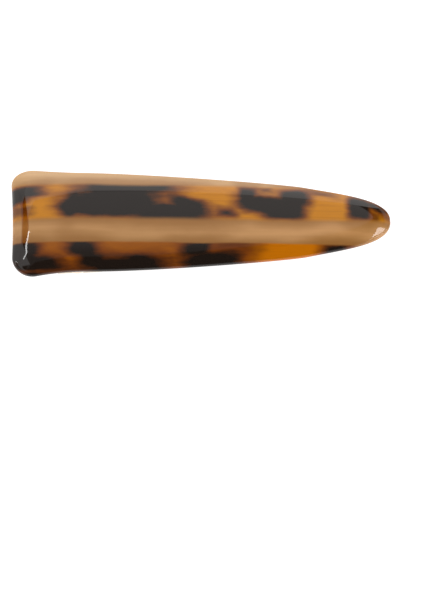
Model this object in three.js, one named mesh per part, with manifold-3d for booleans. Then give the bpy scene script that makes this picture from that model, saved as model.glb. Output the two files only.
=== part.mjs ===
// A hair barrette: a bent acetate shell glued on a sprung two-jaw beak clip.
// Millimetres, +Z up, +X toward the jaws' tip. The closed clip lies on the flat
// underside of its lower jaw, so the shell slopes down toward the tip.
// Every piece is drawn with the hinge pin at x = 0.

import * as THREE from "three";
import { mergeVertices } from "three/addons/utils/BufferGeometryUtils.js";
import Module from "manifold-3d";

const wasm = await Module();
wasm.setup();

// ---- Driving dimensions ----------------------------------------------------

// Acetate shell: its outline, seen from above, from the wide end to the tip
const SHELL_LENGTH = 85;
const WAIST_HALF_WIDTH = 12;
const WAIST_FROM_END = 17;
const FLARE_OUT = 0.82;
const CORNER_LENGTH = 5.5;
const CORNER_WIDTH = 4.2;
const SHOULDER_FROM_TIP = 19.3;
const SHOULDER_HALF_WIDTH = 8.55;
const SHOULDER_SLOPE = 0.2;
const SHOULDER_TO_TIP_HANDLE = 10;
const SHOULDER_TO_WAIST_HANDLE = 4.3;
const WAIST_HANDLE = 13.5;
const TIP_ROUNDNESS = 5.4;
const CORNER_FULLNESS = 0.55;
const END_HOLLOW = 0.3;
const END_HOLLOW_FADE = 4;

// Acetate shell: its section
const SHELL_THICKNESS = 2.6;
const BEND_RADIUS = 31;
const TAIL_DROOP = 1.3;
const END_FACE_HALF = 0.22;
const TIP_FACE_HALF = 0.02;

// Adhesive between the shell and the flat upper jaw
const BED_DEPTH = 1.5;
const BED_INSET = 0.7;
const BED_END_HALF = 0.3;
const BED_GAP = 0.05;

// Both jaws
const SHEET = 0.8;
const TIP_OVERHANG = 6.5;
const JAW_TIP_HEIGHT = 3.3;
const JAW_GAP = 0.3;
const JAW_BEND = 1.5;

// Upper jaw, a flat plate with two ears folded down
const PLATE_TAIL = 8;
const PLATE_REAR_HALF = 6.6;
const PLATE_FRONT_HALF = 3;
const PLATE_CORNER = 2.5;
const UPPER_EAR_TOP_HALF = 4.2;
const UPPER_EAR_WALL = 1.6;

// Lower jaw, a tapered channel that ends in the thumb lever
const LOWER_HALF_WIDTH = 7.1;
const LOWER_TIP_HALF = 3;
const LEVER_INSET = 1.4;
const LEVER_HALF_WIDTH = 5.6;
const LEVER_CORNER = 3;
const LEVER_RIM = 0.6;
const WALL_PARALLEL = 4.5;
const LOWER_EAR_WALL = 1.8;
const EAR_FOOT = 1.4;
const TOOTH_PITCH = 2.5;
const TOOTH_DEPTH = 0.8;

// Hinge pin and its place
const HINGE_FROM_END = 15;
const PIN_HEIGHT = 5.2;
const PIN_TO_PLATE = 5.7;
const PIN_RADIUS = 1;
const PIN_RUNNING_CLEARANCE = 0.06;
const PIN_RIVET_CLEARANCE = 0.03;
const HEAD_LIP = 0.7;
const HEAD_RIM = 0.25;
const HEAD_DOME = 0.75;
const EAR_SIDE_GAP = 0.3;
const HEAD_GAP = 0.05;

// Torsion spring round the pin
const WIRE_RADIUS = 0.45;
const COIL_CLEARANCE = 0.6;
const COIL_PITCH = 1.05;
const FULL_TURNS = 4;
const LEG_ANGLE = THREE.MathUtils.degToRad(65);
const LEG_FLAT = 1.6;
const LEG_GAP = 0.06;
const LEG_STOPS = [0.25, 0.6];

// ---- Sizes that follow from them -------------------------------------------

const jawReach = SHELL_LENGTH - HINGE_FROM_END - TIP_OVERHANG;
const leverLength = HINGE_FROM_END - LEVER_INSET;
const upperEarRadius = PIN_RADIUS + UPPER_EAR_WALL;
const lowerEarRadius = PIN_RADIUS + LOWER_EAR_WALL;
const headRadius = PIN_RADIUS + HEAD_LIP;
const coilRadius = PIN_RADIUS + COIL_CLEARANCE + WIRE_RADIUS;
const upperEarInner = LOWER_HALF_WIDTH + EAR_SIDE_GAP;
const upperEarOuter = upperEarInner + SHEET;
const pinRunningHole = PIN_RADIUS + PIN_RUNNING_CLEARANCE;
const pinRivetHole = PIN_RADIUS + PIN_RIVET_CLEARANCE;
const plateTop = PIN_TO_PLATE + SHEET;
const shellUnderside = plateTop + BED_DEPTH;
const halfThickness = SHELL_THICKNESS / 2;
const bendCentre = shellUnderside + halfThickness - BEND_RADIUS;

// Slope of the shell and the upper jaw: the plate's underside passes PIN_TO_PLATE
// above the pin and JAW_TIP_HEIGHT above the table at the jaws' tip.
const tipDrop = JAW_TIP_HEIGHT - PIN_HEIGHT;
const slope = Math.asin(PIN_TO_PLATE / Math.hypot(jawReach, tipDrop)) - Math.atan2(tipDrop, jawReach);

// Height above the table of the plate's underside, x ahead of the pin
function plateUnderside(x) {
  return PIN_HEIGHT + (PIN_TO_PLATE - x * Math.sin(slope)) / Math.cos(slope);
}

// ---- Shape helpers ---------------------------------------------------------

// Corners closer than this are one corner
const MERGE_WITHIN = 1e-5;

function toSolid(geometry) {
  const bare = geometry.clone();
  bare.deleteAttribute("normal");
  bare.deleteAttribute("uv");
  const merged = mergeVertices(bare, MERGE_WITHIN);
  return new wasm.Manifold(
    new wasm.Mesh({
      numProp: 3,
      vertProperties: new Float32Array(merged.attributes.position.array),
      triVerts: new Uint32Array(merged.index.array),
    }),
  );
}

function toGeometry(solid) {
  const mesh = solid.getMesh();
  const geometry = new THREE.BufferGeometry();
  geometry.setAttribute("position", new THREE.BufferAttribute(mesh.vertProperties, 3));
  geometry.setIndex(new THREE.BufferAttribute(mesh.triVerts, 1));
  const faceted = geometry.toNonIndexed();
  faceted.computeVertexNormals();
  return faceted;
}

// Plan shape raised from z = bottom to z = top
function raise(shape, bottom, top) {
  const geometry = new THREE.ExtrudeGeometry(shape, {
    depth: top - bottom,
    bevelEnabled: false,
    curveSegments: 8,
  });
  geometry.translate(0, 0, bottom);
  return toSolid(geometry);
}

// Side shape, drawn as x and z, spread over the width |y| < half
function spread(shape, half) {
  const geometry = new THREE.ExtrudeGeometry(shape, {
    depth: 2 * half,
    bevelEnabled: false,
    curveSegments: 8,
  });
  geometry.rotateX(Math.PI / 2);
  geometry.translate(0, half, 0);
  return toSolid(geometry);
}

// Round bar across the width, its flats at least radius from the axis
function crossBar(radius, half, height) {
  const sides = 32;
  const geometry = new THREE.CylinderGeometry(
    radius / Math.cos(Math.PI / sides),
    radius / Math.cos(Math.PI / sides),
    2 * half,
    sides,
  );
  geometry.translate(0, 0, height);
  return toSolid(geometry);
}

// Closed solid through rings of equally many points. A ring starts at its left edge and
// goes over the top and back underneath, so point i lies above point count - 1 - i.
function skin(rings) {
  const count = rings[0].length;
  const positions = rings.flat().flatMap((point) => point.toArray());
  const index = [];
  for (let ring = 0; ring + 1 < rings.length; ring += 1) {
    for (let i = 0; i < count; i += 1) {
      const next = (i + 1) % count;
      const a = ring * count + i;
      const b = ring * count + next;
      index.push(a, b, a + count);
      index.push(b, b + count, a + count);
    }
  }
  const last = (rings.length - 1) * count;
  for (let i = 0; i + 1 < count / 2; i += 1) {
    const opposite = count - 1 - i;
    index.push(i, opposite, i + 1);
    index.push(i + 1, opposite, opposite - 1);
    index.push(last + i, last + i + 1, last + opposite);
    index.push(last + i + 1, last + opposite - 1, last + opposite);
  }
  const geometry = new THREE.BufferGeometry();
  geometry.setAttribute("position", new THREE.Float32BufferAttribute(positions, 3));
  geometry.setIndex(index);
  geometry.computeVertexNormals();
  return geometry;
}

// ---- Acetate shell ---------------------------------------------------------

// Half outline in plan: x is the distance from the wide end, y the half width
function shellOutline() {
  const shoulderX = SHELL_LENGTH - SHOULDER_FROM_TIP;
  const cornerTop = WAIST_HALF_WIDTH + FLARE_OUT;
  const flareSlope = (2 * FLARE_OUT) / (WAIST_FROM_END - CORNER_LENGTH);
  const outline = new THREE.Path();
  outline.moveTo(SHELL_LENGTH, 0);
  outline.bezierCurveTo(
    SHELL_LENGTH,
    TIP_ROUNDNESS,
    shoulderX + SHOULDER_TO_TIP_HANDLE,
    SHOULDER_HALF_WIDTH - SHOULDER_TO_TIP_HANDLE * SHOULDER_SLOPE,
    shoulderX,
    SHOULDER_HALF_WIDTH,
  );
  outline.bezierCurveTo(
    shoulderX - SHOULDER_TO_WAIST_HANDLE,
    SHOULDER_HALF_WIDTH + SHOULDER_TO_WAIST_HANDLE * SHOULDER_SLOPE,
    WAIST_FROM_END + WAIST_HANDLE,
    WAIST_HALF_WIDTH,
    WAIST_FROM_END,
    WAIST_HALF_WIDTH,
  );
  outline.quadraticCurveTo(
    (WAIST_FROM_END + CORNER_LENGTH) / 2,
    WAIST_HALF_WIDTH,
    CORNER_LENGTH,
    cornerTop,
  );
  outline.bezierCurveTo(
    CORNER_LENGTH * (1 - CORNER_FULLNESS),
    cornerTop + CORNER_LENGTH * CORNER_FULLNESS * flareSlope,
    0,
    cornerTop - CORNER_WIDTH * (1 - CORNER_FULLNESS),
    0,
    cornerTop - CORNER_WIDTH,
  );
  return outline.getPoints(9);
}

// How far the shell curls down at a distance from its wide end
function tailDroop(fromEnd) {
  const share = Math.max(0, WAIST_FROM_END - fromEnd) / WAIST_FROM_END;
  return TAIL_DROOP * share * share;
}

// Half thickness, rounded off toward both ends
function halfThicknessAt(fromEnd) {
  const inward = Math.min(fromEnd, SHELL_LENGTH - fromEnd, halfThickness);
  const round = Math.sqrt(inward * (2 * halfThickness - inward));
  return Math.max(round, END_FACE_HALF);
}

// One section across the shell: a bent strip with round edges
function shellRing(fromEnd, outlineHalf) {
  const faceSteps = 12;
  const edgeSteps = 5;
  const half = halfThicknessAt(fromEnd);
  const edge = Math.max(outlineHalf - half, TIP_FACE_HALF);
  const edgeAngle = Math.asin(edge / BEND_RADIUS);
  const drop = bendCentre - tailDroop(fromEnd);
  const hollow = END_HOLLOW * (1 - fromEnd / SHELL_LENGTH) ** END_HOLLOW_FADE;
  const place = (y, z) => {
    const across = Math.min(1, Math.abs(y) / WAIST_HALF_WIDTH);
    return new THREE.Vector3(fromEnd - HINGE_FROM_END + hollow * (1 - across * across), y, z + drop);
  };
  const points = [];
  for (const face of [1, -1]) {
    for (let i = 0; i <= faceSteps; i += 1) {
      const angle = face * edgeAngle * (1 - (2 * i) / faceSteps);
      const radius = BEND_RADIUS + face * half;
      points.push(place(-radius * Math.sin(angle), radius * Math.cos(angle)));
    }
    for (let i = 1; i < edgeSteps; i += 1) {
      const turn = edgeAngle + (Math.PI * i) / edgeSteps;
      const y = BEND_RADIUS * Math.sin(edgeAngle) + half * Math.sin(turn);
      const z = BEND_RADIUS * Math.cos(edgeAngle) + half * Math.cos(turn);
      points.push(face > 0 ? place(y, z) : place(-y, 2 * BEND_RADIUS * Math.cos(edgeAngle) - z));
    }
  }
  const upperLeft = points.splice(-(edgeSteps - 1) / 2);
  return [...upperLeft, ...points];
}

function acetateShell() {
  const rings = shellOutline().map((point) => shellRing(point.x, point.y));
  return skin(rings);
}

// ---- Adhesive bed ----------------------------------------------------------

// Flat below, and shaped above by the shell's underside
function adhesiveBed() {
  const faceSteps = 8;
  const rear = -PLATE_TAIL + BED_INSET;
  const front = jawReach - BED_INSET;
  const frontRound = PLATE_FRONT_HALF - BED_INSET - BED_END_HALF;
  const rearRound = PLATE_CORNER - BED_INSET;
  const steps = 18;
  const rings = [];
  for (let station = 0; station <= steps; station += 1) {
    const share = (1 - Math.cos((Math.PI * station) / steps)) / 2;
    const x = THREE.MathUtils.lerp(front, rear, share);
    const cut = cornerCut(front - x, frontRound) + cornerCut(x - rear, rearRound);
    const half = plateHalfWidth(x) - BED_INSET - cut;
    const drop = bendCentre - tailDroop(x + HINGE_FROM_END);
    const radius = BEND_RADIUS - halfThickness - BED_GAP;
    const ring = [];
    for (let i = 0; i <= faceSteps; i += 1) {
      const y = half * ((2 * i) / faceSteps - 1);
      ring.push(new THREE.Vector3(x, y, drop + Math.sqrt(radius * radius - y * y)));
    }
    for (let i = faceSteps; i >= 0; i -= 1) {
      const y = half * ((2 * i) / faceSteps - 1);
      ring.push(new THREE.Vector3(x, y, plateTop + BED_GAP));
    }
    rings.push(ring);
  }
  return skin(rings);
}

// Half width that a rounded corner takes off at a distance from the end
function cornerCut(distance, radius) {
  const short = radius - Math.min(distance, radius);
  return radius - Math.sqrt(radius * radius - short * short);
}

// ---- Upper jaw -------------------------------------------------------------

function plateHalfWidth(x) {
  const share = THREE.MathUtils.clamp(x / jawReach, 0, 1);
  return THREE.MathUtils.lerp(PLATE_REAR_HALF, PLATE_FRONT_HALF, share);
}

// Tapered plan outline with rounded corners at the tail and a round front end
function taperedPlan(tail, rearHalf, corner, reach, tipHalf, shoulder, shoulderHalf) {
  const plan = new THREE.Shape();
  plan.moveTo(-tail + corner, -rearHalf);
  plan.lineTo(-shoulder, -shoulderHalf);
  plan.lineTo(shoulder, -shoulderHalf);
  plan.lineTo(reach - tipHalf, -tipHalf);
  plan.absarc(reach - tipHalf, 0, tipHalf, -Math.PI / 2, Math.PI / 2, false);
  plan.lineTo(shoulder, shoulderHalf);
  plan.lineTo(-shoulder, shoulderHalf);
  plan.lineTo(-tail + corner, rearHalf);
  plan.absarc(-tail + corner, rearHalf - corner, corner, Math.PI / 2, Math.PI, false);
  plan.absarc(-tail + corner, -rearHalf + corner, corner, Math.PI, 1.5 * Math.PI, false);
  return plan;
}

// Section of the folded strip that bridges the two ears, drawn as y and z
function foldedStrip() {
  const inner = JAW_BEND - SHEET;
  const corner = upperEarOuter - JAW_BEND;
  const bendZ = plateTop - JAW_BEND;
  const foot = -upperEarRadius - SHEET;
  const strip = new THREE.Shape();
  strip.moveTo(upperEarOuter, foot);
  strip.lineTo(upperEarOuter, bendZ);
  strip.absarc(corner, bendZ, JAW_BEND, 0, Math.PI / 2, false);
  strip.lineTo(-corner, plateTop);
  strip.absarc(-corner, bendZ, JAW_BEND, Math.PI / 2, Math.PI, false);
  strip.lineTo(-upperEarOuter, foot);
  strip.lineTo(-upperEarInner, foot);
  strip.lineTo(-upperEarInner, bendZ);
  strip.absarc(-corner, bendZ, inner, Math.PI, Math.PI / 2, true);
  strip.lineTo(corner, PIN_TO_PLATE);
  strip.absarc(corner, bendZ, inner, Math.PI / 2, 0, true);
  strip.lineTo(upperEarInner, foot);
  return strip;
}

// Side view of an ear: wide where it leaves the plate, round about the pin
function upperEarSide() {
  const side = new THREE.Shape();
  side.moveTo(-UPPER_EAR_TOP_HALF, plateTop + SHEET);
  side.lineTo(-UPPER_EAR_TOP_HALF, plateTop - JAW_BEND);
  side.lineTo(-upperEarRadius, 0);
  side.absarc(0, 0, upperEarRadius, Math.PI, 2 * Math.PI, false);
  side.lineTo(UPPER_EAR_TOP_HALF, plateTop - JAW_BEND);
  side.lineTo(UPPER_EAR_TOP_HALF, plateTop + SHEET);
  return side;
}

function upperJaw() {
  const plate = raise(
    taperedPlan(
      PLATE_TAIL,
      PLATE_REAR_HALF,
      PLATE_CORNER,
      jawReach,
      PLATE_FRONT_HALF,
      0,
      PLATE_REAR_HALF,
    ),
    PIN_TO_PLATE,
    plateTop,
  );
  const stripGeometry = new THREE.ExtrudeGeometry(foldedStrip(), {
    depth: 4 * UPPER_EAR_TOP_HALF,
    bevelEnabled: false,
    curveSegments: 5,
  });
  stripGeometry.rotateX(Math.PI / 2);
  stripGeometry.rotateZ(Math.PI / 2);
  stripGeometry.translate(-2 * UPPER_EAR_TOP_HALF, 0, 0);
  const strip = toSolid(stripGeometry);
  const ears = strip.intersect(spread(upperEarSide(), 2 * upperEarOuter));
  const hole = crossBar(pinRivetHole, 2 * upperEarOuter, 0);
  return toGeometry(plate.add(ears).subtract(hole));
}

// ---- Lower jaw -------------------------------------------------------------

// Side view: the flat web, the ears about the pin and the toothed top edge
function lowerJawSide() {
  const wallTop = PIN_HEIGHT + lowerEarRadius;
  const rimTop = SHEET + LEVER_RIM;
  const side = new THREE.Shape();
  side.moveTo(-leverLength - 1, -1);
  side.lineTo(jawReach + 1, -1);
  const teethEnd = jawReach + 1;
  const teethStart = (PIN_HEIGHT + PIN_TO_PLATE / Math.cos(slope) - JAW_GAP - wallTop) / Math.tan(slope);
  const count = Math.floor((teethEnd - teethStart) / TOOTH_PITCH);
  for (let tooth = 0; tooth < count; tooth += 1) {
    const x = teethEnd - tooth * TOOTH_PITCH;
    const valley = x - TOOTH_PITCH / 2;
    side.lineTo(x, plateUnderside(x) - JAW_GAP);
    side.lineTo(valley, plateUnderside(valley) - JAW_GAP - TOOTH_DEPTH);
  }
  const lastTooth = teethEnd - count * TOOTH_PITCH;
  side.lineTo(lastTooth, plateUnderside(lastTooth) - JAW_GAP);
  side.lineTo(teethStart, wallTop);
  side.absarc(0, PIN_HEIGHT, lowerEarRadius, Math.PI / 2, Math.PI, false);
  side.lineTo(-lowerEarRadius, rimTop + EAR_FOOT);
  side.absarc(-lowerEarRadius - EAR_FOOT, rimTop + EAR_FOOT, EAR_FOOT, 0, -Math.PI / 2, true);
  side.lineTo(-leverLength - 1, rimTop);
  return side;
}

function lowerJaw() {
  const plan = (inset) =>
    taperedPlan(
      leverLength - inset,
      LEVER_HALF_WIDTH - inset,
      LEVER_CORNER - inset,
      jawReach - inset,
      LOWER_TIP_HALF - inset,
      WALL_PARALLEL,
      LOWER_HALF_WIDTH - inset,
    );
  const wallTop = PIN_HEIGHT + lowerEarRadius + 1;
  const outside = raise(plan(0), 0, wallTop);
  const inside = raise(plan(SHEET), SHEET, wallTop + 1);
  const channel = outside.subtract(inside);
  const trimmed = channel.intersect(spread(lowerJawSide(), 2 * LOWER_HALF_WIDTH));
  const hole = crossBar(pinRunningHole, 2 * LOWER_HALF_WIDTH, PIN_HEIGHT);
  return toGeometry(trimmed.subtract(hole));
}

// ---- Hinge pin -------------------------------------------------------------

// Shank with a domed head at each end, turned about the cross axis
function hingePin() {
  const face = upperEarOuter + HEAD_GAP;
  const domeSteps = 4;
  const profile = [];
  for (let i = domeSteps; i >= 0; i -= 1) {
    const angle = (Math.PI / 2) * (i / domeSteps);
    const out = face + HEAD_RIM + HEAD_DOME * Math.sin(angle);
    profile.push(new THREE.Vector2(i === domeSteps ? 0 : headRadius * Math.cos(angle), out));
  }
  profile.push(new THREE.Vector2(headRadius, face));
  profile.push(new THREE.Vector2(PIN_RADIUS, face));
  const lower = profile.map((point) => new THREE.Vector2(point.x, -point.y));
  return new THREE.LatheGeometry([...lower, ...profile.reverse()], 32);
}

// ---- Torsion spring --------------------------------------------------------

// One leg: from its free end, flat on the jaw, to where it meets the coil.
// side is +1 for the leg on the upper jaw and -1 for the leg on the lower jaw.
function springLeg(side, reach, y, turn) {
  const startX = coilRadius * Math.cos(LEG_ANGLE);
  const startZ = coilRadius * Math.sin(LEG_ANGLE);
  const run = (reach - startZ) / Math.cos(LEG_ANGLE);
  const endX = startX - run * Math.sin(LEG_ANGLE);
  const slant = LEG_STOPS.map((share) => [
    THREE.MathUtils.lerp(endX, startX, share),
    THREE.MathUtils.lerp(reach, startZ, share),
  ]);
  const local = [[endX - LEG_FLAT, reach], [endX - LEG_FLAT / 2, reach], ...slant];
  return local.map(([x, z]) => {
    const point = new THREE.Vector3(x, y, side * z);
    return point.applyAxisAngle(new THREE.Vector3(0, 1, 0), turn);
  });
}

function torsionSpring() {
  const stepsPerTurn = 14;
  const upperStart = LEG_ANGLE - slope;
  const sweep = 2 * Math.PI * FULL_TURNS + upperStart + LEG_ANGLE;
  const width = (COIL_PITCH * sweep) / (2 * Math.PI);
  const upperReach = PIN_TO_PLATE - WIRE_RADIUS - LEG_GAP;
  const lowerReach = PIN_HEIGHT - SHEET - WIRE_RADIUS - LEG_GAP;
  const steps = Math.round((stepsPerTurn * sweep) / (2 * Math.PI));
  const coil = [];
  for (let i = 0; i <= steps; i += 1) {
    const angle = upperStart - (sweep * i) / steps;
    const y = width * (i / steps - 0.5);
    coil.push(new THREE.Vector3(coilRadius * Math.cos(angle), y, coilRadius * Math.sin(angle)));
  }
  const upperLeg = springLeg(1, upperReach, -width / 2, slope);
  const lowerLeg = springLeg(-1, lowerReach, width / 2, 0).reverse();
  const wirePath = new THREE.CatmullRomCurve3([...upperLeg, ...coil, ...lowerLeg]);
  const section = new THREE.Shape();
  section.absarc(0, 0, WIRE_RADIUS, 0, 2 * Math.PI, false);
  return new THREE.ExtrudeGeometry(section, {
    steps: steps + 10,
    bevelEnabled: false,
    curveSegments: 4,
    extrudePath: wirePath,
  });
}

// ---- Assembly --------------------------------------------------------------

function piece(name, geometry, color, roughness, metalness) {
  const material = new THREE.MeshStandardMaterial({ color, roughness, metalness });
  const mesh = new THREE.Mesh(geometry, material);
  mesh.name = name;
  return mesh;
}

// What turns with the shell, sloping down toward the tip
const upperGroup = new THREE.Group();
upperGroup.position.set(0, 0, PIN_HEIGHT);
upperGroup.rotation.y = slope;
upperGroup.add(
  piece("acetate_shell", acetateShell(), 0xb4865a, 0.12, 0),
  piece("adhesive_bed", adhesiveBed(), 0xe8e4d8, 0.35, 0),
  piece("upper_jaw", upperJaw(), 0xd8c8b4, 0.3, 1),
  piece("hinge_pin", hingePin(), 0xdcc9b2, 0.25, 1),
);

const spring = piece("torsion_spring", torsionSpring(), 0xb8b8b4, 0.3, 1);
spring.position.set(0, 0, PIN_HEIGHT);

const clip = new THREE.Group();
clip.add(upperGroup, spring, piece("lower_jaw", lowerJaw(), 0xd8c8b4, 0.3, 1));

// The origin is the middle of the whole box, at table height
const part = new THREE.Group();
part.add(clip);
part.updateMatrixWorld(true);
const box = new THREE.Box3().setFromObject(clip, true);
clip.position.x = -(box.min.x + box.max.x) / 2;

export default part;
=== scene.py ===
"""A tortoiseshell acetate barrette on a sprung beak clip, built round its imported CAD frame."""

import math

import bmesh
import bpy
import numpy as np
from mathutils import Matrix, Vector


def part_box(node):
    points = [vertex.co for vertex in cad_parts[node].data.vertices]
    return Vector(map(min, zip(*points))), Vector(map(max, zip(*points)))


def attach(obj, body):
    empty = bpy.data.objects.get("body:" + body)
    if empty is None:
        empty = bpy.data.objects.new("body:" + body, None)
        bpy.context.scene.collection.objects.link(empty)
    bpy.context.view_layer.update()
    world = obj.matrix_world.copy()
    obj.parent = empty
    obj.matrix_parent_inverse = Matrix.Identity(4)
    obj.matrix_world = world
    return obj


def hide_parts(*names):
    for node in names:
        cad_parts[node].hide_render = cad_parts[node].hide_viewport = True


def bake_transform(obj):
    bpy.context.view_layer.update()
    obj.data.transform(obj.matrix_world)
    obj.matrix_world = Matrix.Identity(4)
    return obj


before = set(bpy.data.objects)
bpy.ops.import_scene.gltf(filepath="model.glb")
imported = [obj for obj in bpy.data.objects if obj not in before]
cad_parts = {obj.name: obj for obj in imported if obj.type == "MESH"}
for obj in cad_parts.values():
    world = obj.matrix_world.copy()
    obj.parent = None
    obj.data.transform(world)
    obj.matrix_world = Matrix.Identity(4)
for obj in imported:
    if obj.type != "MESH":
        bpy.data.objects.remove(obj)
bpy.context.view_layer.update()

MM = 0.001

# ---- Sizes, in millimetres, in the shell's own frame -----------------------
# x runs from the hinge pin toward the tip, z is square to the flat upper jaw.

SHELL_LENGTH = 85
HINGE_FROM_END = 15
WAIST_HALF = 12
WAIST_FROM_END = 17
FLARE_OUT = 0.82
CORNER_LENGTH = 5.5
CORNER_WIDTH = 4.2
CORNER_FULLNESS = 0.55
SHOULDER = (65.7, 8.55)
SHOULDER_SLOPE = 0.2
SHOULDER_HANDLES = (10, 4.3)
WAIST_HANDLE = 13.5
TIP_ROUNDNESS = 5.4
END_HOLLOW = 0.3
TAIL_DROOP = 1.3
THICKNESS = 2.6
BEND_RADIUS = 31
PILLOW_DEPTH = 0.75
PILLOW_REACH = 4.4
PILLOW_SLOPE = math.atan(2 * PILLOW_DEPTH / PILLOW_REACH)
END_BOW = 0.8
END_BOW_MIDDLE = -1.5
END_BOW_SPAN = 8
END_BOW_LENGTH = 10
BORDER_BLEND = 2
EDGE_RADIUS = (THICKNESS - PILLOW_DEPTH) / (1 + math.cos(PILLOW_SLOPE))
EDGE_START = EDGE_RADIUS * (1 - math.sin(PILLOW_SLOPE))
# Small moves that keep the fine shell inside the CAD shell's box
ROUND_END_SHIFT = 0.055
SIDE_TRIM = 0.01
# Least half width of a ring's top and underside, and least share of its full depth
TIP_FACE_HALF = 0.25
LEAST_FULLNESS = 0.02

SHEET = 0.8
PIN_TO_PLATE = 5.7
PLATE_TOP = PIN_TO_PLATE + SHEET
BED_DEPTH = 1.5
JAW_REACH = 63.5
PIN_HEIGHT = 5.2
JAW_TIP_HEIGHT = 3.3
PIN_RADIUS = 1.0
WIRE_RADIUS = 0.45
COIL_RADIUS = 2.05
COIL_PITCH = 1.05
FULL_TURNS = 4
LEG_ANGLE = math.radians(65)
LEG_FLAT = 1.6
LEG_GAP = 0.06
JAW_EDGE = 0.14

# Points closer than the first are one point, and edges shorter than the second are dropped
SAME_POINT = 0.002
SHORTEST_EDGE = 0.0005

TIP_DROP = JAW_TIP_HEIGHT - PIN_HEIGHT
SLOPE = math.asin(PIN_TO_PLATE / math.hypot(JAW_REACH, TIP_DROP)) - math.atan2(TIP_DROP, JAW_REACH)

pin_low, pin_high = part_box("hinge_pin")
PIN = (pin_low + pin_high) / 2
SHELL_FRAME = Matrix.Translation(PIN) @ Matrix.Rotation(SLOPE, 4, "Y")


# ---- Mesh helpers ----------------------------------------------------------

def new_object(name, vertices, faces, matrix=None, smooth=True):
    """A mesh object from points in millimetres, moved into the row frame by matrix."""
    mesh = bpy.data.meshes.new(name)
    mesh.from_pydata([Vector(v) * MM for v in vertices], [], faces)
    if matrix is not None:
        mesh.transform(matrix)
    mesh.validate()
    mesh.update()
    made = bpy.data.objects.new(name, mesh)
    bpy.context.scene.collection.objects.link(made)
    mesh.polygons.foreach_set("use_smooth", [smooth] * len(mesh.polygons))
    fix_normals(made)
    return made


def fix_normals(made):
    """Merges doubled points, drops slivers and turns every face outward."""
    bm = bmesh.new()
    bm.from_mesh(made.data)
    bmesh.ops.remove_doubles(bm, verts=bm.verts, dist=SAME_POINT * MM)
    bmesh.ops.dissolve_degenerate(bm, edges=bm.edges, dist=SHORTEST_EDGE * MM)
    bmesh.ops.recalc_face_normals(bm, faces=bm.faces)
    bm.to_mesh(made.data)
    bm.free()


def bezier(points, count):
    """count + 1 points along a cubic or quadratic Bezier curve."""
    found = []
    for i in range(count + 1):
        level = [Vector(p) for p in points]
        while len(level) > 1:
            level = [a.lerp(b, i / count) for a, b in zip(level, level[1:])]
        found.append(level[0])
    return found


# ---- Acetate shell ---------------------------------------------------------

def shell_outline():
    """Half outline as arrays: distance from the wide end, and half width."""
    tip_handle, waist_handle = SHOULDER_HANDLES
    corner_top = WAIST_HALF + FLARE_OUT
    flare_slope = 2 * FLARE_OUT / (WAIST_FROM_END - CORNER_LENGTH)
    handle = CORNER_LENGTH * CORNER_FULLNESS
    steps = 120
    x, y = SHOULDER
    curves = [
        [
            (SHELL_LENGTH, 0),
            (SHELL_LENGTH, TIP_ROUNDNESS),
            (x + tip_handle, y - tip_handle * SHOULDER_SLOPE),
            (x, y),
        ],
        [
            (x, y),
            (x - waist_handle, y + waist_handle * SHOULDER_SLOPE),
            (WAIST_FROM_END + WAIST_HANDLE, WAIST_HALF),
            (WAIST_FROM_END, WAIST_HALF),
        ],
        [
            (WAIST_FROM_END, WAIST_HALF),
            ((WAIST_FROM_END + CORNER_LENGTH) / 2, WAIST_HALF),
            (CORNER_LENGTH, corner_top),
        ],
        [
            (CORNER_LENGTH, corner_top),
            (CORNER_LENGTH - handle, corner_top + handle * flare_slope),
            (0, corner_top - CORNER_WIDTH * (1 - CORNER_FULLNESS)),
            (0, corner_top - CORNER_WIDTH),
        ],
    ]
    points = [p for curve in curves for p in bezier(curve, steps)]
    points.sort(key=lambda p: p.x)
    return np.array([p.x for p in points]), np.array([p.y for p in points])


def shell_stations():
    """Distances from the wide end, close together where the ends round over."""
    round_steps, rolled_rows, rolled_apart, middle_rows = 15, 28, 0.22, 150
    round_angles = [math.pi / 2 * i / round_steps for i in range(round_steps)]
    near = [EDGE_RADIUS * (1 - math.cos(angle)) for angle in round_angles]
    near += [EDGE_RADIUS + rolled_apart * i for i in range(rolled_rows)]
    middle = np.linspace(near[-1], SHELL_LENGTH - near[-1], middle_rows)[1:-1]
    return near + list(middle) + [SHELL_LENGTH - d for d in reversed(near)]


def tail_droop(from_end):
    """How far the wide end has sunk below the straight part of the shell."""
    share = max(0.0, WAIST_FROM_END - from_end) / WAIST_FROM_END
    return TAIL_DROOP * share * share


def pillow(outline, from_end, across):
    """How far the polished top has dropped near the border, at places across one ring."""
    side = np.hypot(outline[0] - from_end, outline[1] - np.abs(across)[:, None]).min(axis=1)
    bow = END_BOW * ((across - END_BOW_MIDDLE) / END_BOW_SPAN) ** 2
    end = from_end + bow * max(0.0, 1 - from_end / END_BOW_LENGTH)
    border = -np.log(np.exp(-BORDER_BLEND * side) + np.exp(-BORDER_BLEND * end)) / BORDER_BLEND
    share = 1 - np.clip(border - EDGE_START, 0, PILLOW_REACH) / PILLOW_REACH
    return PILLOW_DEPTH * share * share


def edge_arc(width, fullness, steps, side):
    """Round edge of one ring: from the rolled top to the underside, or back up the far side."""
    radius = EDGE_RADIUS * fullness
    centre = max(width - radius, TIP_FACE_HALF)
    lean = math.asin(centre / BEND_RADIUS)
    bottom = BEND_RADIUS - PILLOW_DEPTH / 2 - (THICKNESS - PILLOW_DEPTH) / 2 * fullness
    height = bottom - BEND_RADIUS * (1 - math.cos(lean)) + radius
    first = lean + PILLOW_SLOPE
    arc = []
    for i in range(1, steps):
        turn = first + (math.pi + lean - first) * i / steps
        arc.append((centre + radius * math.sin(turn), height + radius * math.cos(turn)))
    return arc if side > 0 else [(-y, z) for y, z in reversed(arc)]


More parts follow.
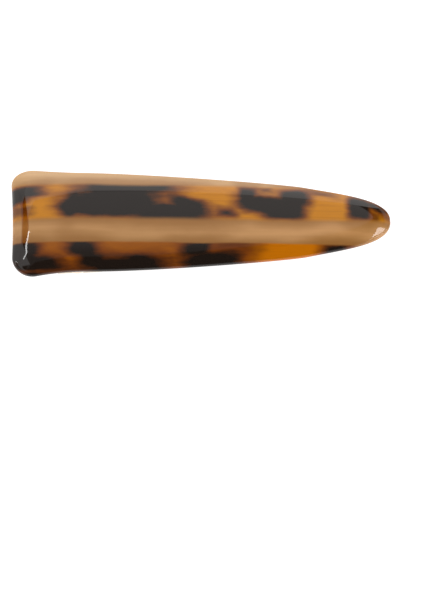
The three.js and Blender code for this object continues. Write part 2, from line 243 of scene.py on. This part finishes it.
def acetate_shell():
    """Bent strip with round edges and a softly rolled border, made of rings across it."""
    face_steps, edge_steps, hollow_fade = 72, 16, 4
    outline = shell_outline()
    stations = shell_stations()
    vertices, faces = [], []
    for from_end in stations:
        inward = min(from_end, SHELL_LENGTH - from_end, EDGE_RADIUS) / EDGE_RADIUS
        fullness = max(math.sqrt(inward * (2 - inward)), LEAST_FULLNESS)
        middle = PLATE_TOP + BED_DEPTH + THICKNESS / 2 - BEND_RADIUS - tail_droop(from_end)
        hollow = END_HOLLOW * (1 - from_end / SHELL_LENGTH) ** hollow_fade
        width = float(np.interp(from_end, *outline)) - SIDE_TRIM
        ring = []
        for side in (1, -1):
            inset = (EDGE_START if side > 0 else EDGE_RADIUS) * fullness
            angle = math.asin(max(width - inset, TIP_FACE_HALF) / BEND_RADIUS)
            turns = side * angle * (2 * np.arange(face_steps + 1) / face_steps - 1)
            drop = pillow(outline, from_end, BEND_RADIUS * np.sin(turns))
            for turn, low in zip(turns, drop):
                radius = BEND_RADIUS - low / 2 + side * (THICKNESS - low) / 2 * fullness
                ring.append((BEND_RADIUS * math.sin(turn), radius - BEND_RADIUS * (1 - math.cos(turn))))
            ring += edge_arc(width, fullness, edge_steps, side)
        for y, z in ring:
            across = min(1.0, abs(y) / WAIST_HALF)
            x = from_end - HINGE_FROM_END + ROUND_END_SHIFT + hollow * (1 - across * across)
            vertices.append((x, y, z + middle))
    count = len(vertices) // len(stations)
    for station in range(len(stations) - 1):
        for i in range(count):
            a = station * count + i
            b = station * count + (i + 1) % count
            faces.append((a, b, b + count, a + count))

    # Each end is closed by strips between its top and its underside
    for first in (0, (len(stations) - 1) * count):
        order = [first + (i - edge_steps // 2) % count for i in range(count)]
        for i in range(count // 2):
            corners = (order[i], order[i + 1], order[-i - 1], order[-i])
            faces.append(tuple(dict.fromkeys(corners)))
    return new_object("shell_fine", vertices, faces, SHELL_FRAME)


# ---- Material helpers ------------------------------------------------------

class Nodes:
    """Short calls for building a node tree."""

    def __init__(self, tree):
        self.tree = tree
        tree.nodes.clear()

    def link(self, source, target):
        self.tree.links.new(source, target)

    def feed(self, socket, value):
        if isinstance(value, bpy.types.NodeSocket):
            self.link(value, socket)
        elif value is not None:
            socket.default_value = value

    def math(self, operation, a, b=None, c=None):
        node = self.tree.nodes.new("ShaderNodeMath")
        node.operation = operation
        for socket, value in zip(node.inputs, (a, b, c)):
            self.feed(socket, value)
        return node.outputs[0]

    def vector(self, operation, a, b=None, scale=None):
        node = self.tree.nodes.new("ShaderNodeVectorMath")
        node.operation = operation
        self.feed(node.inputs[0], a)
        self.feed(node.inputs[1], b)
        if scale is not None:
            self.feed(node.inputs["Scale"], scale)
        return node.outputs["Value"] if operation == "LENGTH" else node.outputs[0]

    def split(self, vector):
        node = self.tree.nodes.new("ShaderNodeSeparateXYZ")
        self.link(vector, node.inputs[0])
        return node.outputs[0], node.outputs[1], node.outputs[2]

    def join(self, x, y, z=0.0):
        node = self.tree.nodes.new("ShaderNodeCombineXYZ")
        for socket, value in zip(node.inputs, (x, y, z)):
            self.feed(socket, value)
        return node.outputs[0]

    def noise(self, vector, stretch, detail=2.0, roughness=0.5, distortion=0.0):
        """Noise from about 0 to 1 whose grains are 1 / stretch millimetres long."""
        node = self.tree.nodes.new("ShaderNodeTexNoise")
        self.link(self.vector("MULTIPLY", vector, stretch), node.inputs["Vector"])
        node.inputs["Scale"].default_value = 1.0
        node.inputs["Detail"].default_value = detail
        node.inputs["Roughness"].default_value = roughness
        node.inputs["Distortion"].default_value = distortion
        return node.outputs["Fac"]

    def ease(self, value, low, high):
        """0 below low, 1 above high, smooth between; low may be the larger."""
        node = self.tree.nodes.new("ShaderNodeMapRange")
        node.interpolation_type = "SMOOTHSTEP"
        self.feed(node.inputs["Value"], value)
        flip = low > high
        node.inputs["From Min"].default_value = high if flip else low
        node.inputs["From Max"].default_value = low if flip else high
        node.inputs["To Min"].default_value = 1.0 if flip else 0.0
        node.inputs["To Max"].default_value = 0.0 if flip else 1.0
        return node.outputs["Result"]

    def rescale(self, value, low, high):
        """Takes 0..1 to low..high."""
        return self.math("MULTIPLY_ADD", value, high - low, low)

    def mix(self, factor, a, b, blend="MIX"):
        node = self.tree.nodes.new("ShaderNodeMix")
        node.data_type = "RGBA"
        node.blend_type = blend
        self.feed(node.inputs["Factor"], factor)
        colours = [s for s in node.inputs if s.type == "RGBA"]
        for socket, value in zip(colours, (a, b)):
            self.feed(socket, rgba(value))
        return [s for s in node.outputs if s.type == "RGBA"][0]

    def bump(self, height, distance, strength=1.0):
        node = self.tree.nodes.new("ShaderNodeBump")
        node.inputs["Strength"].default_value = strength
        node.inputs["Distance"].default_value = distance
        self.link(height, node.inputs["Height"])
        return node.outputs["Normal"]

    def both(self, *masks):
        """All the masks multiplied together."""
        product = masks[0]
        for mask in masks[1:]:
            product = self.math("MULTIPLY", product, mask)
        return product


class Graph(Nodes):
    """One material, with its nodes and its principled shader."""

    def __init__(self, name):
        self.material = bpy.data.materials.new(name)
        self.material.use_nodes = True
        super().__init__(self.material.node_tree)
        output = self.tree.nodes.new("ShaderNodeOutputMaterial")
        self.shader = self.tree.nodes.new("ShaderNodeBsdfPrincipled")
        self.link(self.shader.outputs["BSDF"], output.inputs["Surface"])

    def set(self, **values):
        for name, value in values.items():
            self.feed(self.shader.inputs[name.replace("_", " ")], value)

    def coordinates(self):
        """Places in millimetres in the shell's frame, with the pin at the origin."""
        node = self.tree.nodes.new("ShaderNodeTexCoord")
        turned = self.tree.nodes.new("ShaderNodeMapping")
        turned.vector_type = "TEXTURE"
        self.link(node.outputs["Object"], turned.inputs["Vector"])
        turned.inputs["Location"].default_value = PIN
        turned.inputs["Rotation"].default_value = (0, SLOPE, 0)
        return self.vector("SCALE", turned.outputs[0], scale=1 / MM)

    def eased_edge(self):
        """1 on a sheet's eased edges and folds, 0 elsewhere."""
        node = self.tree.nodes.new("ShaderNodeAttribute")
        node.attribute_name = "eased_edge"
        return node.outputs["Fac"]


def rgba(value):
    if isinstance(value, (tuple, list)) and len(value) == 3:
        return (*value, 1.0)
    return value


# ---- Tortoiseshell acetate -------------------------------------------------

# Long stripes in the sheet, as places across the shell in millimetres
FAR_BEIGE_FROM = 8.2
CENTRE_BEIGE = (-6.2, -0.8)

# Dark blots: distance from the wide end, place across, half length, half width, turn
BLOTS = [
    (2.4, 5.9, 4.4, 1.5, 8),
    (0.8, 4.4, 3.2, 1.5, 20),
    (24.2, 6.4, 8.8, 2.1, 0),
    (31.6, 7.2, 5.0, 1.1, 0),
    (22.6, 2.8, 11.0, 3.2, 0),
    (13.4, 2.6, 3.2, 2.3, 42),
    (34.4, 1.0, 8.6, 2.3, -2),
    (39.2, 2.7, 4.4, 1.9, -20),
    (47.4, 0.9, 1.3, 0.6, 0),
    (52.6, 5.2, 1.9, 2.6, -8),
    (55.6, 3.0, 5.2, 2.3, -12),
    (60.6, 2.2, 4.6, 2.7, 0),
    (63.2, 5.0, 3.3, 2.2, 0),
    (77.9, 2.6, 2.4, 3.0, -6),
    (81.6, 3.0, 2.8, 0.9, -32),
    (2.2, -8.2, 3.8, 2.3, 0),
    (5.6, -10.6, 6.2, 1.7, -3),
    (4.0, -12.8, 9.0, 0.8, 0),
    (15.3, -7.5, 3.4, 1.8, -8),
    (17.6, -9.8, 3.4, 1.7, -14),
    (25.0, -11.0, 9.8, 1.9, 2),
    (27.5, -9.5, 5.0, 0.8, 2),
    (40.6, -7.4, 3.3, 1.5, 4),
    (44.4, -10.2, 7.0, 2.3, 3),
    (72.2, -7.3, 2.8, 1.3, 4),
]

# Fainter red-brown stains, placed in the same way
STAINS = [
    (2.0, 1.3, 2.4, 1.2, 0),
    (47.6, 0.9, 1.9, 1.1, 0),
    (56.8, 7.0, 1.5, 0.7, 0),
    (69.8, 6.4, 2.8, 0.7, -12),
    (8.6, -11.6, 3.4, 0.9, 6),
    (29.0, -10.2, 4.0, 1.4, 0),
    (48.4, -7.0, 5.4, 1.1, 3),
    (74.8, -6.8, 2.8, 0.8, 8),
    (81.0, 0.4, 1.4, 1.2, -20),
]

# Places where the amber is at its clearest
CLEAR = [
    (12.6, -10.6, 1.3, 1.2, -20),
    (35.2, -10.0, 1.8, 1.9, 10),
    (6.8, 2.4, 2.6, 2.4, 0),
    (63.5, -8.0, 6.0, 1.6, 12),
]

AMBER = (0.64, 0.235, 0.002)
AMBER_DEEP = (0.31, 0.082, 0.001)
# Painted light: the near flank's amber, a copy of the amber set to make up for the dimmer light that
# flank gets
AMBER_NEAR_PAINTED_LIGHT = (0.66, 0.187, 0.0005)
BEIGE = (0.6, 0.312, 0.118)
BEIGE_PALE = (0.69, 0.355, 0.135)
BEIGE_EDGE = (0.34, 0.145, 0.034)
BEIGE_FAR = (0.7, 0.41, 0.175)
BLOT = (0.015, 0.009, 0.006)
BLOT_RIM = (0.2, 0.045, 0.005)
STAIN = (0.11, 0.024, 0.004)

# How softly neighbouring spots run together, in millimetres
SPOT_BLEND = 0.8

# Painted shade: a darker band at the wide end that stands in for a dark reflection; its middle
# across the shell, how much its two borders bow, per millimetre, and what it multiplies the colour by
LENS_MIDDLE = -2.0
LENS_OUTER_BOW = 0.0115
LENS_INNER_BOW = 0.0275
LENS_PAINTED_SHADE = (0.64, 0.44, 0.2)


def spots(graph, place, listed):
    """Least of the spots' distances, in millimetres: negative inside a spot."""
    least = None
    for from_end, across, length, width, turn in listed:
        node = graph.tree.nodes.new("ShaderNodeMapping")
        node.vector_type = "TEXTURE"
        graph.link(place, node.inputs["Vector"])
        node.inputs["Location"].default_value = (from_end - HINGE_FROM_END, across, 0)
        node.inputs["Rotation"].default_value = (0, 0, math.radians(turn))
        node.inputs["Scale"].default_value = (length, width, 1)
        squared = graph.vector("MULTIPLY", node.outputs[0], node.outputs[0])
        reach = graph.math("SQRT", graph.vector("LENGTH", squared))
        distance = graph.math("MULTIPLY_ADD", reach, min(length, width), -min(length, width))
        if least is None:
            least = distance
        else:
            least = graph.math("SMOOTH_MIN", least, distance, SPOT_BLEND)
    return least


def tortoiseshell():
    """Amber sheet with beige stripes, dark blots and red-brown stains, under a polished gloss."""
    graph = Graph("tortoiseshell_acetate")
    place = graph.coordinates()
    x, y = graph.split(place)[:2]

    # Slow drift of the layers, longer along the sheet than across it
    drift = graph.rescale(graph.noise(place, (0.07, 0.16, 0.16)), -1.0, 1.0)
    wobble = graph.rescale(graph.noise(place, (0.22, 0.4, 0.4), detail=3), -1.0, 1.0)
    across = graph.math("ADD", y, graph.math("MULTIPLY", drift, 0.35))
    flat = graph.join(x, across)

    # Spots with wandering, blurred edges, a little feathered along the sheet
    feather = graph.rescale(graph.noise(place, (0.2, 1.2, 0.8), detail=3), -1.0, 1.0)
    ragged = graph.math("MULTIPLY_ADD", wobble, 0.6, graph.math("MULTIPLY", feather, 0.3))
    field = graph.math("ADD", spots(graph, flat, BLOTS), ragged)
    core = graph.ease(field, 0.55, -0.75)
    rim = graph.ease(field, 1.5, -0.1)
    bleed = graph.ease(field, 3.6, 0.0)
    stain = graph.ease(graph.math("ADD", spots(graph, flat, STAINS), ragged), 0.9, -0.7)
    clear = graph.ease(graph.math("ADD", spots(graph, flat, CLEAR), ragged), 1.4, -0.8)

    # Amber with fine streaks along the sheet, deep in the near band up to the clear part; on the near
    # flank the amber is a painted-light copy, set to make up for the dimmer light there
    streaks = graph.noise(place, (0.05, 3.4, 2.0), detail=4, roughness=0.6)
    cloud = graph.noise(place, (0.12, 0.35, 0.35), detail=2)
    near = graph.ease(across, -4.5, -6.5)
    rear = graph.ease(x, 43.5, 37.0)
    depth = graph.both(graph.ease(streaks, 0.4, 0.75), graph.rescale(cloud, 0.0, 0.45))
    deep = graph.both(near, rear, graph.rescale(cloud, 0.6, 1.2))
    amber = graph.mix(near, AMBER, AMBER_NEAR_PAINTED_LIGHT)
    depth = graph.math("MAXIMUM", depth, deep)
    depth = graph.math("MULTIPLY", depth, graph.rescale(clear, 1.0, 0.2))
    amber = graph.mix(depth, amber, AMBER_DEEP)
    shell = graph.mix(graph.math("MULTIPLY", stain, 0.85), amber, STAIN)
    shell = graph.mix(graph.math("MULTIPLY", rim, 0.9), shell, BLOT_RIM)
    shell = graph.mix(core, shell, BLOT)

    # Beige stripes: sharp on their near border, blurred on the others
    low, high = CENTRE_BEIGE
    above = graph.math("SUBTRACT", across, low)
    below = graph.math("SUBTRACT", high, across)
    into_far = graph.math("SUBTRACT", across, FAR_BEIGE_FROM)
    centre = graph.both(graph.ease(above, -0.25, 0.3), graph.ease(below, -0.8, 0.6))
    inside = graph.ease(graph.math("MINIMUM", above, below), -0.4, 2.0)
    beige = graph.mix(graph.ease(x, 20.0, 62.0), BEIGE, BEIGE_PALE)
    beige = graph.mix(graph.rescale(inside, 0.35, 1.0), BEIGE_EDGE, beige)
    beige = graph.mix(graph.both(graph.ease(across, 2.0, 9.5), graph.ease(x, 52, 38)), beige, BEIGE_FAR)
    beige = graph.mix(graph.math("MULTIPLY", bleed, 0.75), beige, BEIGE_EDGE)
    grain = graph.noise(place, (0.04, 0.9, 0.8), detail=3)
    beige = graph.mix(graph.rescale(graph.ease(grain, 0.35, 0.75), 0.0, 0.16), beige, BEIGE_EDGE)
    stripes = graph.math("MAXIMUM", centre, graph.ease(into_far, -0.8, 0.5))
    colour = graph.mix(stripes, shell, beige)

    # Painted shade: a lens-shaped darker band on the rolled wide end, standing in for a dark reflection
    # there
    off_middle = graph.math("SUBTRACT", y, LENS_MIDDLE)
    bow = graph.math("MULTIPLY", off_middle, off_middle)
    from_end = graph.math("ADD", x, HINGE_FROM_END)
    inner = graph.math("MULTIPLY_ADD", bow, LENS_INNER_BOW, from_end)
    outer = graph.math("MULTIPLY_ADD", bow, LENS_OUTER_BOW, from_end)
    lens = graph.both(graph.ease(outer, 2.1, 2.5), graph.ease(inner, 3.95, 3.65))
    colour = graph.mix(graph.math("MULTIPLY", lens, 0.9), colour, LENS_PAINTED_SHADE, "MULTIPLY")

    # Polished, with very shallow waves
    waves = graph.noise(place, (0.08, 0.14, 0.14), detail=1)
    graph.set(Base_Color=colour, Roughness=0.04, IOR=1.49)
    graph.feed(graph.shader.inputs["Normal"], graph.bump(waves, 0.000015))
    return graph.material


# ---- Metal, wire and glue --------------------------------------------------

WORN_PLATING = (0.9, 0.86, 0.8)


def plated(name, light, dark, roughness):
    """Satin plating: drawn streaks, faint stains, and brighter worn edges."""
    graph = Graph(name)
    place = graph.coordinates()
    stain = graph.noise(place, (0.35, 0.35, 0.35), detail=4)
    lines = graph.noise(place, (0.5, 14.0, 14.0), detail=3)
    worn = graph.both(graph.eased_edge(), graph.ease(stain, 0.3, 0.6))
    colour = graph.mix(graph.ease(stain, 0.35, 0.75), light, dark)
    colour = graph.mix(graph.math("MULTIPLY", worn, 0.6), colour, WORN_PLATING)
    rough = graph.rescale(graph.ease(stain, 0.3, 0.8), roughness, roughness + 0.14)
    graph.set(Base_Color=colour, Roughness=rough, Metallic=1.0)
    graph.feed(graph.shader.inputs["Normal"], graph.bump(lines, 0.000012, 0.6))
    return graph.material


def glue():
    """Cloudy clear glue with small bubbles."""
    graph = Graph("clear_adhesive")
    place = graph.coordinates()
    cloud = graph.noise(place, (0.6, 0.6, 0.6), detail=4)
    bubbles = graph.noise(place, (3.0, 3.0, 3.0), detail=2)
    colour = graph.mix(graph.ease(cloud, 0.3, 0.7), (0.8, 0.74, 0.58), (0.62, 0.52, 0.36))
    graph.set(Base_Color=colour, Roughness=graph.rescale(cloud, 0.15, 0.4), IOR=1.47)
    graph.feed(graph.shader.inputs["Normal"], graph.bump(bubbles, 0.00008, 0.5))
    return graph.material


# ---- Metal pieces ----------------------------------------------------------

# Faces that turn less than this are one face, and edges that turn more than the next are stamped
ONE_FACE = math.radians(1)
STAMPED_EDGE = math.radians(35)
# Least area, in square millimetres, of the walls beside a fold that is eased
BROAD_WALL = 2.0


def eased_copy(node, width):
    """The CAD node's shape again, with its stamped edges and the folds in its broad walls eased."""
    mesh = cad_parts[node].data.copy()
    made = bpy.data.objects.new(node + "_fine", mesh)
    bpy.context.scene.collection.objects.link(made)
    bm = bmesh.new()
    bm.from_mesh(mesh)
    bmesh.ops.remove_doubles(bm, verts=bm.verts, dist=SAME_POINT * MM)
    bmesh.ops.dissolve_limit(
        bm,
        angle_limit=ONE_FACE,
        use_dissolve_boundaries=False,
        verts=bm.verts,
        edges=bm.edges,
    )
    weight = bm.edges.layers.float.new("bevel_weight_edge")
    for edge in bm.edges:
        broad = min(face.calc_area() for face in edge.link_faces) > BROAD_WALL * MM * MM
        if broad or edge.calc_face_angle() > STAMPED_EDGE:
            edge[weight] = 1.0
    bm.to_mesh(mesh)
    bm.free()
    mesh.polygons.foreach_set("use_smooth", [True] * len(mesh.polygons))
    mesh.materials.clear()
    mesh.materials.append(None)
    mesh.materials.append(None)
    bevel = made.modifiers.new("eased_edges", "BEVEL")
    bevel.width = width * MM
    bevel.segments = 3
    bevel.limit_method = "WEIGHT"
    bevel.material = 1
    flat = made.modifiers.new("flat_walls", "WEIGHTED_NORMAL")
    flat.keep_sharp = True
    apply_modifiers(made)
    mark_eased_edges(made.data)
    return made


def mark_eased_edges(mesh):
    """Names the faces that the bevel made, which have the second material, for the plating's wear."""
    mark = mesh.attributes.new("eased_edge", "FLOAT", "FACE")
    mark.data.foreach_set("value", [float(face.material_index) for face in mesh.polygons])
    mesh.polygons.foreach_set("material_index", [0] * len(mesh.polygons))


def apply_modifiers(made):
    """Gives the object the mesh that its modifiers make, and removes them."""
    graph = bpy.context.evaluated_depsgraph_get()
    mesh = bpy.data.meshes.new_from_object(made.evaluated_get(graph))
    made.modifiers.clear()
    made.data = mesh


def hinge_pin():
    """Rivet with a low domed head at each end, turned about the cross axis."""
    head_in, head_out, head_radius = 8.25, 9.25, 1.7
    rim_height, foot_height, foot_inset = 0.25, 0.1, 0.08
    dome_steps, sides = 18, 64
    dome = head_out - head_in - rim_height
    profile = [(0, head_out)]
    for step in range(1, dome_steps + 1):
        a = math.pi / 2 * (1 - step / dome_steps)
        profile.append((head_radius * math.cos(a), head_in + rim_height + dome * math.sin(a)))
    profile += [(head_radius, head_in + foot_height), (head_radius - foot_inset, head_in)]
    profile += [(PIN_RADIUS, head_in), (PIN_RADIUS, 0)]
    profile += [(r, -y) for r, y in reversed(profile[:-1])]
    vertices, faces = [], []
    for i in range(sides):
        a = 2 * math.pi * i / sides
        vertices += [(r * math.cos(a), y, r * math.sin(a)) for r, y in profile]
    count = len(profile)
    for i in range(sides):
        for j in range(count - 1):
            a, b = i * count + j, ((i + 1) % sides) * count + j
            faces.append((a, b, b + 1, a + 1))
    made = new_object("hinge_pin_fine", vertices, faces, Matrix.Translation(PIN))
    made.data.set_sharp_from_angle(angle=math.radians(50))
    return made


def spring_path():
    """The wire's centre line from the upper leg's end, round the coil, to the lower leg's end."""
    upper_start = LEG_ANGLE - SLOPE
    sweep = 2 * math.pi * FULL_TURNS + upper_start + LEG_ANGLE
    width = COIL_PITCH * sweep / (2 * math.pi)
    steps = 260
    coil = []
    for i in range(steps + 1):
        a = upper_start - sweep * i / steps
        coil.append((COIL_RADIUS * math.cos(a), width * (i / steps - 0.5), COIL_RADIUS * math.sin(a)))
    upper = spring_leg(1, PIN_TO_PLATE - WIRE_RADIUS - LEG_GAP, -width / 2, SLOPE)
    lower = spring_leg(-1, PIN_HEIGHT - SHEET - WIRE_RADIUS - LEG_GAP, width / 2, 0)
    return upper + coil[1:-1] + lower[::-1], width


def spring_leg(side, reach, y, turn):
    """One straight leg and its flat end, from the free end to the coil."""
    bend_back, bend_on = 0.5, 0.2
    start = Vector((COIL_RADIUS * math.cos(LEG_ANGLE), COIL_RADIUS * math.sin(LEG_ANGLE)))
    run = (reach - start.y) / math.cos(LEG_ANGLE)
    bend = Vector((start.x - run * math.sin(LEG_ANGLE), reach))
    end = Vector((bend.x - LEG_FLAT, reach))
    bend_from, bend_to = end.lerp(bend, bend_back), bend.lerp(start, bend_on)
    line = bezier([end, bend_from], 3)
    line += bezier([bend_from, bend, bend_to], 10)[1:]
    line += bezier([bend_to, start], 14)[1:]
    turned = Matrix.Rotation(turn, 3, "Y")
    return [tuple(turned @ Vector((p.x, y, side * p.y))) for p in line]


def torsion_spring():
    """Round wire swept along the spring's path, with rounded cut ends."""
    path, width = spring_path()
    points = [Vector(p) for p in path]
    normal = Vector((0, 1, 0))
    rows = []
    for i, point in enumerate(points):
        before, after = points[max(i - 1, 0)], points[min(i + 1, len(points) - 1)]
        along = (after - before).normalized()
        normal = (normal - along * normal.dot(along)).normalized()
        rows.append((point, along, normal, 1.0))

    # Smaller rings past each end: how far past it, and their share of the wire's radius
    rounding = [(0.14, 0.25), (0.08, 0.8)]
    rings = [past_end(rows[0], -past, share) for past, share in rounding]
    rings += rows
    rings += [past_end(rows[-1], past, share) for past, share in reversed(rounding)]

    sides = 16
    vertices, faces = [], []
    for point, along, normal, share in rings:
        side = along.cross(normal)
        for k in range(sides):
            a = 2 * math.pi * k / sides
            vertices.append(point + (normal * math.cos(a) + side * math.sin(a)) * (WIRE_RADIUS * share))
    for i in range(len(rings) - 1):
        for k in range(sides):
            a, b = i * sides + k, i * sides + (k + 1) % sides
            faces.append((a, b, b + sides, a + sides))
    faces.append(tuple(range(sides)))
    faces.append(tuple(range((len(rings) - 1) * sides, len(rings) * sides)))
    made = new_object("torsion_spring_fine", vertices, faces, Matrix.Translation(PIN))
    return made, width


def past_end(row, distance, share):
    """A copy of a row of the wire, moved along it, with a share of the radius."""
    point, along, normal, _ = row
    return point + along * distance, along, normal, share


# ---- Stage: floor, lights and camera ---------------------------------------

def lamp(name, centre, size, turn, radiance):
    """Soft rectangular lamp that hangs level above the clip and shines down."""
    light = bpy.data.lights.new(name, "AREA")
    light.shape = "RECTANGLE"
    light.size, light.size_y = size
    light.energy = radiance * math.pi * size[0] * size[1]
    made = bpy.data.objects.new(name, light)
    bpy.context.scene.collection.objects.link(made)
    made.matrix_world = Matrix.Translation(centre) @ Matrix.Rotation(math.radians(turn), 4, "Z")


def floor():
    """Plain pale floor, lit from within like a light table."""
    reach = 3000
    corners = [(-reach, -reach, 0), (reach, -reach, 0), (reach, reach, 0), (-reach, reach, 0)]
    made = new_object("floor", corners, [(0, 1, 2, 3)], smooth=False)
    graph = Graph("floor_white")
    place = graph.coordinates()
    tone = graph.noise(place, (0.004, 0.004, 0.004))
    graph.set(Base_Color=graph.mix(tone, (0.34, 0.34, 0.34), (0.36, 0.36, 0.36)), Roughness=0.9)
    graph.set(Emission_Color=(1, 1, 1, 1), Emission_Strength=0.98)
    made.data.materials.append(graph.material)


# Radiance of the studio's walls, of the low strip on the near side, and of its darkest places
LEFT_WALL_LIGHT = 1.4
RIGHT_WALL_LIGHT = 1.0
BACK_WALL_LIGHT = 1.8
STRIP_LIGHT = 2.6
LEAST_LIGHT = 0.06


def sky():
    """Studio round the clip: a large soft ceiling light, pale walls, a dim near side."""
    world = bpy.data.worlds.new("studio")
    bpy.context.scene.world = world
    world.use_nodes = True
    studio = Nodes(world.node_tree)
    output = studio.tree.nodes.new("ShaderNodeOutputWorld")
    background = studio.tree.nodes.new("ShaderNodeBackground")
    where = studio.tree.nodes.new("ShaderNodeTexCoord")
    x, y, z = studio.split(where.outputs["Generated"])

    # Places on a level ceiling one unit up, and its slightly slanted borders
    height = studio.math("MAXIMUM", z, 0.05)
    u = studio.math("DIVIDE", x, height)
    v = studio.math("DIVIDE", y, height)
    beyond = studio.math("MAXIMUM", studio.math("SUBTRACT", v, 0.3), 0.0)
    left = studio.math("MULTIPLY_ADD", beyond, 0.12, u)
    right = studio.math("MULTIPLY_ADD", v, -0.2, u)
    back = studio.math("MULTIPLY_ADD", u, -1.2, v)
    lean = studio.math("MINIMUM", studio.math("SUBTRACT", u, 0.1), 0.0)
    near = studio.math("MULTIPLY_ADD", lean, -0.9, v)

    inside_left = studio.ease(left, -0.36, -0.34)
    ceiling = studio.both(
        inside_left,
        studio.ease(right, 0.39, 0.36),
        studio.ease(near, -0.62, -0.52),
        studio.ease(back, 0.9, 0.84),
        studio.rescale(studio.ease(v, -0.5, 0.7), 0.3, 1.05),
    )

    # Walls past the ceiling's borders, the left one bent at its near and far ends
    far = studio.ease(y, -0.85, -0.6)
    near_bend = studio.math("MAXIMUM", studio.math("SUBTRACT", 0.3, v), 0.0)
    far_bend = studio.math("MAXIMUM", studio.math("SUBTRACT", v, 0.75), 0.0)
    wall = studio.math("MULTIPLY_ADD", far_bend, -0.6, studio.math("MULTIPLY_ADD", near_bend, -0.35, u))
    left_wall = studio.both(studio.ease(wall, -0.54, -0.6), studio.ease(v, -0.8, -0.7), LEFT_WALL_LIGHT)
    right_wall = studio.both(studio.ease(right, 1.0, 1.1), far, RIGHT_WALL_LIGHT)
    back_wall = studio.both(studio.ease(back, 0.85, 0.91), far, inside_left, BACK_WALL_LIGHT)
    walls = studio.math("MAXIMUM", back_wall, studio.math("MAXIMUM", left_wall, right_wall))
    strip = studio.both(
        studio.ease(z, 0.19, 0.23),
        studio.ease(z, 0.33, 0.29),
        studio.ease(y, -0.4, -0.6),
        STRIP_LIGHT,
    )
    light = studio.math("MAXIMUM", ceiling, studio.math("MAXIMUM", walls, strip))
    light = studio.math("MAXIMUM", light, LEAST_LIGHT)
    studio.link(light, background.inputs["Strength"])
    studio.link(background.outputs[0], output.inputs["Surface"])


def lights():
    """Two lamps, beyond the ceiling light's left and right borders."""
    lamp("left_lamp", (-0.265, -0.05, 0.6), (0.028, 0.38), -18.0, 13.0)
    lamp("right_lamp", (0.565, -0.19, 0.6), (0.25, 0.3), 0.0, 8.0)


# Angles in degrees, lens in millimetres, and the picture's height at the shell in metres
CAMERA_ELEVATION = 65
CAMERA_AZIMUTH = -2.5
LENS = 120
SENSOR_WIDTH = 36
FRAME_HEIGHT = 0.1337
FRAME_SHAPE = 428 / 600  # width over height
FRAME_WIDTH = FRAME_HEIGHT * FRAME_SHAPE
OBJECT_LEFT_OF_CENTRE = 0.026 * FRAME_WIDTH
OBJECT_ABOVE_CENTRE = 0.1338 * FRAME_HEIGHT


def camera():
    """Looks down at the clip from the near side, as steeply as in the picture."""
    data = bpy.data.cameras.new("camera")
    data.lens = LENS
    data.sensor_width = SENSOR_WIDTH
    made = bpy.data.objects.new("camera", data)
    bpy.context.scene.collection.objects.link(made)
    a, e = math.radians(CAMERA_AZIMUTH), math.radians(CAMERA_ELEVATION)
    back = Vector((math.sin(a) * math.cos(e), -math.cos(a) * math.cos(e), math.sin(e)))
    right = Vector((math.cos(a), math.sin(a), 0))
    up = back.cross(right)
    low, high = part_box("acetate_shell")
    subject = (low + high) / 2
    distance = FRAME_HEIGHT * LENS / SENSOR_WIDTH
    location = subject + back * distance
    target = subject + right * OBJECT_LEFT_OF_CENTRE - up * OBJECT_ABOVE_CENTRE
    away = (location - target).normalized()
    level = (right - away * right.dot(away)).normalized()
    turn = Matrix((level, away.cross(level), away)).transposed()
    made.matrix_world = Matrix.Translation(location) @ turn.to_4x4()
    data.clip_start, data.clip_end = 0.02, 20
    bpy.context.scene.camera = made


# ---- Put together ----------------------------------------------------------

camera()
floor()
sky()
lights()
bpy.context.scene.view_settings.view_transform = "Standard"

sheet_metal = plated("plated_sheet", (0.74, 0.64, 0.5), (0.6, 0.5, 0.37), 0.24)
rivet_metal = plated("plated_rivet", (0.9, 0.78, 0.66), (0.8, 0.66, 0.53), 0.18)
wire_metal = plated("spring_wire", (0.72, 0.71, 0.69), (0.55, 0.54, 0.52), 0.2)

shell = acetate_shell()
shell.data.materials.append(tortoiseshell())
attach(shell, "upper")
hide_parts("acetate_shell")

for node, body in (("upper_jaw", "upper"), ("lower_jaw", "lower")):
    jaw = eased_copy(node, JAW_EDGE)
    jaw.data.materials.clear()
    jaw.data.materials.append(sheet_metal)
    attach(jaw, body)
    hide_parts(node)

pin = hinge_pin()
pin.data.materials.append(rivet_metal)
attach(pin, "upper")
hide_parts("hinge_pin")

spring, coil_width = torsion_spring()
spring.data.materials.append(wire_metal)
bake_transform(spring)
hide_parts("torsion_spring")

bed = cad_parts["adhesive_bed"]
bed.data.materials.clear()
bed.data.materials.append(glue())
